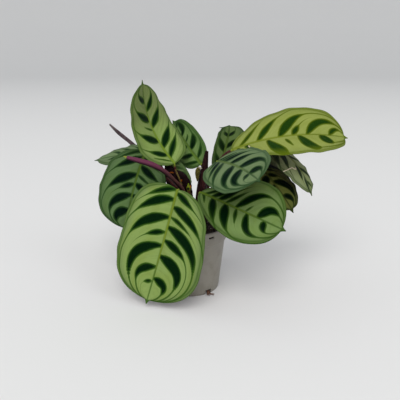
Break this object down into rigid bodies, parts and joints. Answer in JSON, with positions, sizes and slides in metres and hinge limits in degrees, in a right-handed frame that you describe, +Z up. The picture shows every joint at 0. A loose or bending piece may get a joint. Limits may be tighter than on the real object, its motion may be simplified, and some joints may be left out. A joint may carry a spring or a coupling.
{
  "type": "potted prayer plant",
  "caption": "Young prayer plant with striped oval leaves on dark stalks, rolled new leaves and soil in a small round white plastic pot with drain slots.",
  "frame": {"origin": "centre of the pot's flat underside", "axes": "+Z up along the pot's axis, +Y away from the side the plant is seen from, +X to that view's right"},
  "size_m": [0.1898, 0.1253, 0.1544],
  "materials": {
    "pot_plastic": "plain white moulded plastic",
    "soil": "dark crumbly peat",
    "root": "brown wiry roots",
    "stalk": "dark maroon, faintly furrowed",
    "rolled_leaf": "maroon leaf underside rolled outwards, satin",
    "bud": "yellow-green",
    "leaf": "light green with dark green blotches along the side veins, satin"
  },
  "bodies": {
    "root": {"pot": "pot_plastic", "soil": "soil", "root_tips": "root", "stalks_left": "stalk", "stalks_right": "stalk", "leaf_rolled_front": "rolled_leaf", "leaf_rolled_back": "rolled_leaf", "bud": "bud", "leaf_front": "leaf", "leaf_left": "leaf", "leaf_far_left": "leaf", "leaf_tall": "leaf", "leaf_back_left": "leaf", "leaf_back_small": "leaf", "leaf_back_right": "leaf", "leaf_centre_right": "leaf", "leaf_top_right": "leaf", "leaf_low_right": "leaf", "leaf_shaded_right": "leaf", "leaf_far_right": "leaf"}
  },
  "joints": []
}
